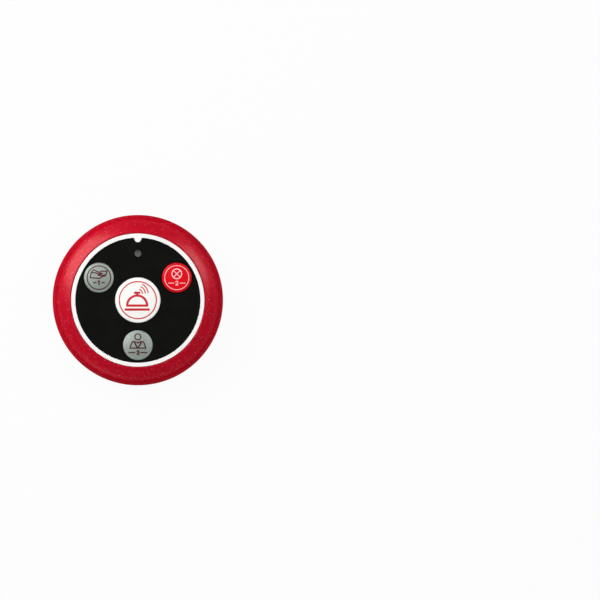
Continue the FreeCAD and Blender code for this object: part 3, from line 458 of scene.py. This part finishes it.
shader = add(tree, "BsdfPrincipled",
             {"Metallic": 0.2, "Specular IOR Level": 0.0, "Specular Tint": linear("#E01030"),
              "Coat Roughness": 0.25},
             {"Base Color": paint_colour.outputs["Color"], "Roughness": gloss.outputs["Result"],
              "Normal": flake_normal.outputs["Vector"], "Coat Weight": lacquer.outputs["Result"],
              "Coat Normal": lacquer_relief.outputs["Normal"]})
add(tree, "OutputMaterial", {}, {"Surface": shader.outputs["BSDF"]})
dress(red_metallic_paint, "top_shell")


# ---------------------------------------------------------------- keys
# Four ABS caps with crowned tops, each moulded in its own colour: a white call key in the middle,
# silver-green pay and order keys, and a red cancel key.
PIGMENT = 0.14 * MM             # coarser than real pigment of about 0.02 mm, which would be lost

# White ABS of the call key: like the ring's, from a finer polished mould.
white_key_abs = through_coloured(
    "white_key_abs", shades=("#F7F6F1", "#FBFAF6"), roughness=(0.3, 0.38),
    grain=0.6 * MM, depth=0.003 * MM)
dress(white_key_abs, "call_key")

# Red ABS of the cancel key: through-coloured, deep and even.
red_key_abs = through_coloured(
    "red_key_abs", shades=("#DC0617", "#E60A1E"), roughness=(0.22, 0.3),
    grain=0.6 * MM, depth=0.003 * MM, specular=0.18)
dress(red_key_abs, "cancel_key")

# Silver-green ABS: aluminium pigment in the plastic gives a fine grain, and lightens it towards a lamp.
silver_green_abs = new_material("silver_green_abs")
tree = silver_green_abs.node_tree
place = add(tree, "TexCoord").outputs["Object"]
pigment = add(tree, "TexVoronoi", {"feature": "F1", "Scale": 1 / PIGMENT}, {"Vector": place})
pigment_value = add(tree, "SeparateColor", {}, {"Color": pigment.outputs["Color"]})
pigment_colour = add(tree, "ValToRGB", {}, {"Fac": pigment_value.outputs["Red"]},
                     [(0.0, linear("#959F98")), (0.8, linear("#A4AEA7")), (1.0, linear("#BEC7C1"))])
gloss = add(tree, "MapRange", {"To Min": 0.42, "To Max": 0.5}, {"Value": pigment_value.outputs["Green"]})
shader = add(tree, "BsdfPrincipled", {"Metallic": 0.62, "Specular IOR Level": 0.3},
             {"Base Color": pigment_colour.outputs["Color"], "Roughness": gloss.outputs["Result"]})
add(tree, "OutputMaterial", {}, {"Surface": shader.outputs["BSDF"]})
dress(silver_green_abs, "pay_key", "order_key")


# ---------------------------------------------------------------- prints on the keys
# Pad-printed ink, a thin raised layer that follows each key's crown: a line round the rim, a pictogram, and
# on the small keys a plain number between two dashes. All are drawn in mm about the middle of their key.
KEY_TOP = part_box("call_key")[1].z
CROWN = 0.5 * MM                # from a key's rim to its summit
INK_LIFT = 0.02 * MM            # ink above the key's face
INK_ROOT = 0.02 * MM            # ink below it, so that no gap shows
CALL_KEY_RADIUS = 7.93          # in mm, like all sizes of the prints from here on
SIDE_KEY_RADIUS = 5.2
LINE_STEP = 0.5                 # between the points of a printed straight line
DASH_START = 1.05               # from the middle of the number between the dashes
INK_WELD = 1e-4                 # points of an outline that are nearer become one


def stroke(points, width):
    """The outline of a line of that width with round ends."""
    left, right = [], []
    for n, point in enumerate(points):
        before, after = points[max(n - 1, 0)], points[min(n + 1, len(points) - 1)]
        heading = math.degrees(math.atan2(after[1] - before[1], after[0] - before[0]))
        left.append(polar(*point, width / 2, heading + 90))
        right.append(polar(*point, width / 2, heading - 90))
        if n == 0:
            cap_start = arc(*point, width / 2, heading + 90, heading + 270)[1:-1]
        if n == len(points) - 1:
            cap_end = arc(*point, width / 2, heading - 90, heading + 90)[1:-1]
    return cap_start + right + cap_end + left[::-1]


def strokes(points, width):
    """A stroke for each straight piece of a bent line, in short steps that can follow the key's crown."""
    outlines = []
    for (ax, ay), (bx, by) in zip(points, points[1:]):
        steps = max(1, math.ceil(math.hypot(bx - ax, by - ay) / LINE_STEP))
        outlines.append(stroke([(ax + (bx - ax) * n / steps, ay + (by - ay) * n / steps)
                                for n in range(steps + 1)], width))
    return outlines


def ring(x, y, radius, width):
    """A circle's line, as two half turns."""
    return [stroke(arc(x, y, radius, start, start + 180), width) for start in (0, 180)]


def print_ink(name, outlines, key, radius, material):
    """A thin solid of ink in the shape of all the outlines joined, on a key's crowned top."""
    low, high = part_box(f"{key}_key")
    centre = (low + high) / 2
    points, loops = [], []
    for outline in outlines:
        loops.append(list(range(len(points), len(points) + len(outline))))
        points += [Vector(point) for point in outline]
    flat, _, faces, _, _, sources = geometry.delaunay_2d_cdt(points, [], loops, 0, INK_WELD)
    faces = [face for face, source in zip(faces, sources) if source]
    mesh = bmesh.new()
    top, bottom = [], []
    for point in flat:
        face_level = KEY_TOP - CROWN * (point.length / radius) ** 2
        x, y = centre.x + point.x * MM, centre.y + point.y * MM
        top.append(mesh.verts.new((x, y, min(face_level + INK_LIFT, KEY_TOP))))
        bottom.append(mesh.verts.new((x, y, face_level - INK_ROOT)))
    edges = {(a, b) for face in faces for a, b in zip(face, face[1:] + face[:1])}
    for face in faces:
        mesh.faces.new([top[n] for n in face])
        mesh.faces.new([bottom[n] for n in reversed(face)])
    for a, b in edges:
        if (b, a) not in edges:
            mesh.faces.new([top[b], top[a], bottom[a], bottom[b]])
    for vertex in [v for v in mesh.verts if not v.link_faces]:
        mesh.verts.remove(vertex)
    data = bpy.data.meshes.new(name)
    mesh.to_mesh(data)
    mesh.free()
    data.materials.append(material)
    piece = bpy.data.objects.new(name, data)
    bpy.context.scene.collection.objects.link(piece)
    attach(piece, f"{key}_key_body")


def ink_material(name, shades):
    """Printing ink: an even semi-gloss colour, a little thinner and thicker in places."""
    return through_coloured(name, shades, roughness=(0.3, 0.45), grain=0.25 * MM, depth=0.002 * MM)


def number(digit, y, half_width, line):
    """A plain number between two dashes that reach out to half_width, in lines of that width."""
    shapes = {
        1: [[(-0.3, 0.35), (0.08, 0.65), (0.08, -0.65)]],
        2: [arc(0, 0.27, 0.38, 165, -35) + [(-0.38, -0.65), (0.42, -0.65)]],
        3: [arc(0, 0.32, 0.33, 150, -90), arc(0, -0.32, 0.35, 90, -150)],
    }
    outlines = []
    for points in shapes[digit]:
        outlines += strokes([(px, y + py) for px, py in points], line)
    for side in (1, -1):
        outlines += strokes([(side * DASH_START, y), (side * half_width, y)], line)
    return outlines


# Red ink, the call key's: a counter bell on its foot, which sends out waves.
red_ink = ink_material("red_pad_ink", ("#C8142A", "#D01C32"))
BELL_X = -0.25
BELL_Y = -1.9
BELL_RADIUS = 3.5
BELL_LINE = 0.8
FOOT_Y = -3.3
FOOT_REACH = 4.1
STEM_FROM, STEM_TO = 1.6, 2.5
KNOB_Y = 2.6
KNOB_REACH = 0.75
WAVES_Y = 2.1
WAVE_RADII = (1.9, 2.9, 3.9)
WAVE_FROM, WAVE_TO = 8, 62      # degrees
CALL_THIN_LINE = 0.42
CALL_RIM_LINE_RADIUS = 6.5
bell = [stroke(arc(BELL_X, BELL_Y, BELL_RADIUS, 180, 0), BELL_LINE)]
bell += strokes([(BELL_X - BELL_RADIUS, BELL_Y), (BELL_X + BELL_RADIUS, BELL_Y)], BELL_LINE)
bell += strokes([(BELL_X - FOOT_REACH, FOOT_Y), (BELL_X + FOOT_REACH, FOOT_Y)], BELL_LINE)
bell += strokes([(BELL_X, STEM_FROM), (BELL_X, STEM_TO)], BELL_LINE)
bell += strokes([(BELL_X - KNOB_REACH, KNOB_Y), (BELL_X + KNOB_REACH, KNOB_Y)], BELL_LINE)
for radius in WAVE_RADII:
    bell.append(stroke(arc(BELL_X, WAVES_Y, radius, WAVE_FROM, WAVE_TO), CALL_THIN_LINE))
bell += ring(0, 0, CALL_RIM_LINE_RADIUS, CALL_THIN_LINE)
print_ink("call_key_print", bell, "call", CALL_KEY_RADIUS, red_ink)

# Dark red ink, on the silver-green keys: a hand that holds out a banknote, and a waiter's bust with lapels.
dark_red_ink = ink_material("dark_red_pad_ink", ("#400B12", "#4C1018"))
DARK_RED_LINE = 0.44
PAY_RIM_LINE = 0.4
PAY_RIM_LINE_RADIUS = 4.12
note = [(-2.7, 1.7), (-3.1, 0.0), (0.3, -0.25), (0.9, 0.25), (2.3, 0.7), (2.85, 2.3), (0.5, 2.25)]
hand = [(-2.7, 1.7), (-1.9, 2.8), (-0.2, 2.0), (1.15, 1.35), (0.0, 1.3), (-0.25, 0.8), (0.6, 0.9)]
cuff = [(-2.5, 1.75), (-1.2, 1.7), (-0.3, 1.4)]
fingers = [(0.5, 0.75), (1.4, 0.75), (2.25, 0.95)]
pay = ring(0, 0, PAY_RIM_LINE_RADIUS, PAY_RIM_LINE)
for line in (note, hand, cuff, fingers):
    pay += strokes(line, DARK_RED_LINE)
pay += number(1, y=-1.75, half_width=1.85, line=DARK_RED_LINE)
print_ink("pay_key_print", pay, "pay", SIDE_KEY_RADIUS, dark_red_ink)

HEAD_Y = 2.9
HEAD_RADIUS = 1.04
LAPEL_LINE = 0.55
jacket = [(-1.4, 1.25), (-1.75, 1.3), (-2.15, 0.75), (-2.5, -0.2), (-2.75, -1.05),
          (2.75, -1.05), (2.5, -0.2), (2.15, 0.75), (1.75, 1.3), (1.4, 1.25)]
lapels = [(-1.3, 1.15), (-0.15, -0.95), (0.15, -0.95), (1.3, 1.15)]
collar = [(-1.2, 1.15), (-0.4, 1.05), (0.0, 0.65), (0.4, 1.05), (1.2, 1.15)]
order = ring(0, HEAD_Y, HEAD_RADIUS, DARK_RED_LINE) + strokes(lapels, LAPEL_LINE)
for line in (jacket, collar):
    order += strokes(line, DARK_RED_LINE)
order += number(3, y=-2.6, half_width=3.1, line=DARK_RED_LINE)
print_ink("order_key_print", order, "order", SIDE_KEY_RADIUS, dark_red_ink)

# Pale ink, on the cancel key: a crossed-out circle.
pale_ink = ink_material("pale_pad_ink", ("#F8C8CC", "#FCD4D6"))
CROSS_Y = 1.35
CROSS_RADIUS = 1.7
CROSS_RING_LINE = 0.34
CROSS_BAR_LINE = 0.26
CANCEL_RIM_LINE = 0.2
CANCEL_RIM_LINE_RADIUS = 4.24
cancel = ring(0, CROSS_Y, CROSS_RADIUS, CROSS_RING_LINE)
for slant in (45, 135):
    ends = [polar(0, CROSS_Y, CROSS_RADIUS, slant + half_turn) for half_turn in (0, 180)]
    cancel += strokes(ends, CROSS_BAR_LINE)
cancel += ring(0, 0, CANCEL_RIM_LINE_RADIUS, CANCEL_RIM_LINE)
cancel += number(2, y=-1.9, half_width=2.9, line=0.24)
print_ink("cancel_key_print", cancel, "cancel", SIDE_KEY_RADIUS, pale_ink)


# ---------------------------------------------------------------- battery door
# The door under the battery, moulded in the same black ABS as the base cover. It slides in the base's
# channel, and has grip grooves and a sunk arrow.
dress(black_abs_spark_eroded, "battery_door")


# ---------------------------------------------------------------- rubber feet
# Four soft discs, cut from black rubber sheet and glued in the base's recesses, so that the button doesn't
# slide on a table.

# Cut black rubber: matt, dark grey, with a fine tooth.
black_rubber = through_coloured(
    "black_rubber", shades=("#191919", "#222222"), roughness=(0.78, 0.92),
    grain=0.15 * MM, depth=0.01 * MM)
dress(black_rubber, "rubber_feet")


# ---------------------------------------------------------------- floor and backdrop
# A sweep of uncoated white paper that rises far behind the button. It shows all but burnt out, so that only
# a trace of the button's shadow stays on it. From below it can be seen through.
FLOOR_RADIUS = 3.2
SWEEP_RADIUS = 0.8
WALL_HEIGHT = 1.2
PAPER_FIBRE = 3 * MM            # coarser than real fibres, which would be lost
WHITE_SHARE = 0.95              # of the paper's look is plain white, and the rest keeps the button's shadow

# Uncoated paper: dull, and faintly clouded by its fibres where it isn't burnt out.
white_paper = new_material("white_paper")
tree = white_paper.node_tree
place = add(tree, "TexCoord").outputs["Object"]
fibres = add(tree, "TexNoise", {"Scale": 1 / PAPER_FIBRE, "Detail": 3.0}, {"Vector": place})
paper_colour = add(tree, "ValToRGB", {}, {"Fac": fibres.outputs["Fac"]},
                   [(0.3, linear("#DADAD8")), (0.7, linear("#DDDDDB"))])
paper = add(tree, "BsdfDiffuse", {}, {"Color": paper_colour.outputs["Color"]})
path = add(tree, "LightPath")
mirrored = add(tree, "Math", {"operation": "MAXIMUM"},
               {0: path.outputs["Is Glossy Ray"], 1: path.outputs["Is Transmission Ray"]})
looked_at = add(tree, "Math", {"operation": "MAXIMUM"},
                {0: path.outputs["Is Camera Ray"], 1: mirrored.outputs[0]})
share = add(tree, "Math", {"operation": "MULTIPLY", 1: WHITE_SHARE}, {0: looked_at.outputs[0]})
white = add(tree, "Emission", {"Color": linear("#FFFFFF"), "Strength": 1.0})
front = add(tree, "MixShader", {},
            {"Fac": share.outputs[0], 1: paper.outputs["BSDF"], 2: white.outputs["Emission"]})
see_through = add(tree, "BsdfTransparent")
side = add(tree, "NewGeometry")
shown = add(tree, "MixShader", {},
            {"Fac": side.outputs["Backfacing"], 1: front.outputs["Shader"],
             2: see_through.outputs["BSDF"]})
add(tree, "OutputMaterial", {}, {"Surface": shown.outputs["Shader"]})

profile = [(0.0, 0.0), (FLOOR_RADIUS / 2, 0.0)]
profile += [(FLOOR_RADIUS - SWEEP_RADIUS + x, SWEEP_RADIUS + y)
            for x, y in arc(0, 0, SWEEP_RADIUS, -90, 0)]
profile.append((FLOOR_RADIUS, WALL_HEIGHT))
# The paper's upper side is its front.
floor = spun("floor", profile, white_paper)
if sum(face.normal.z * face.area for face in floor.data.polygons) < 0:
    floor.data.flip_normals()


# ---------------------------------------------------------------- lamps
# The main softbox stands close by on the left, behind the button. A weaker one stands farther off on the
# right, and two low ones light the steep side. The room is dim overhead, and darker away from the main lamp.
def softbox(name, azimuth, off_vertical, distance, size, watts):
    """A square lamp that looks at the button from that compass direction, measured from +X."""
    lamp = bpy.data.lights.new(name, "AREA")
    lamp.size = size
    lamp.energy = watts
    holder = bpy.data.objects.new(name, lamp)
    tilt, turn = math.radians(off_vertical), math.radians(azimuth)
    direction = Vector((math.sin(tilt) * math.cos(turn), math.sin(tilt) * math.sin(turn), math.cos(tilt)))
    holder.location = direction * distance
    holder.rotation_mode = "QUATERNION"
    holder.rotation_quaternion = direction.to_track_quat("Z", "Y")
    bpy.context.scene.collection.objects.link(holder)


softbox("softbox_left", azimuth=143, off_vertical=42, distance=0.6, size=0.36, watts=2.6)
softbox("softbox_right", azimuth=32, off_vertical=40, distance=2.0, size=0.7, watts=10.0)
softbox("softbox_low", azimuth=140, off_vertical=76, distance=2.0, size=0.9, watts=4.4)
softbox("softbox_front", azimuth=240, off_vertical=76, distance=2.0, size=0.9, watts=2.4)

LAMP_SIDE = 137                 # degrees, the compass direction that the room is lit from
ROOM_LAMP_SIDE = 1.0
ROOM_FAR_SIDE = 0.75
ROOM_OVERHEAD = 0.26
WALLS_UP_TO = 0.15              # sine of the angle above level up to which the walls are at full strength
CEILING_FROM = 0.6              # and from which the room is as dim as overhead
world = bpy.data.worlds.new("room")
bpy.context.scene.world = world
world.use_nodes = True
tree = world.node_tree
tree.nodes.clear()
outwards = add(tree, "TexCoord").outputs["Generated"]
lamp_side = (math.cos(math.radians(LAMP_SIDE)), math.sin(math.radians(LAMP_SIDE)), 0.0)
towards_lamp = add(tree, "VectorMath", {"operation": "DOT_PRODUCT", 1: lamp_side}, {0: outwards})
side_level = add(tree, "MapRange",
                 {"From Min": -1.0, "From Max": 1.0, "To Min": ROOM_FAR_SIDE, "To Max": ROOM_LAMP_SIDE},
                 {"Value": towards_lamp.outputs["Value"]})
upwards = add(tree, "SeparateXYZ", {}, {"Vector": outwards})
level = add(tree, "MapRange",
            {"From Min": WALLS_UP_TO, "From Max": CEILING_FROM, "To Max": ROOM_OVERHEAD},
            {"Value": upwards.outputs["Z"], "To Min": side_level.outputs["Result"]})
air = add(tree, "Background", {"Color": linear("#FFFFFF")}, {"Strength": level.outputs["Result"]})
add(tree, "OutputWorld", {}, {"Surface": air.outputs["Background"]})


# ---------------------------------------------------------------- camera
# Straight above the button and far off, where perspective hardly shows. It is turned a little, so that the
# button stands left of the middle.
CAMERA_HEIGHT = 3.0
CAMERA_REACH = 20.0
SENSOR = 36.0                   # mm, as the lens
IMAGE_SIZE = 600
PIXELS_PER_MM = 2.84            # at the level where the top shell begins
BUTTON_IN_IMAGE = (137.85, 300.15)      # its middle, from the left and from the top

camera = bpy.data.cameras.new("camera")
camera.sensor_width = SENSOR
camera.clip_end = CAMERA_REACH
view_width = IMAGE_SIZE / PIXELS_PER_MM * MM
camera_rise = CAMERA_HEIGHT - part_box("top_shell")[0].z
camera.lens = SENSOR * camera_rise / view_width
holder = bpy.data.objects.new("camera", camera)
holder.location = (0, 0, CAMERA_HEIGHT)
turn_x, turn_y = (math.atan((IMAGE_SIZE / 2 - pixel) / PIXELS_PER_MM * MM / camera_rise)
                  for pixel in BUTTON_IN_IMAGE)
holder.rotation_euler = (-turn_y, -turn_x, 0)
bpy.context.scene.collection.objects.link(holder)
bpy.context.scene.camera = holder
bpy.context.scene.view_settings.view_transform = "Standard"
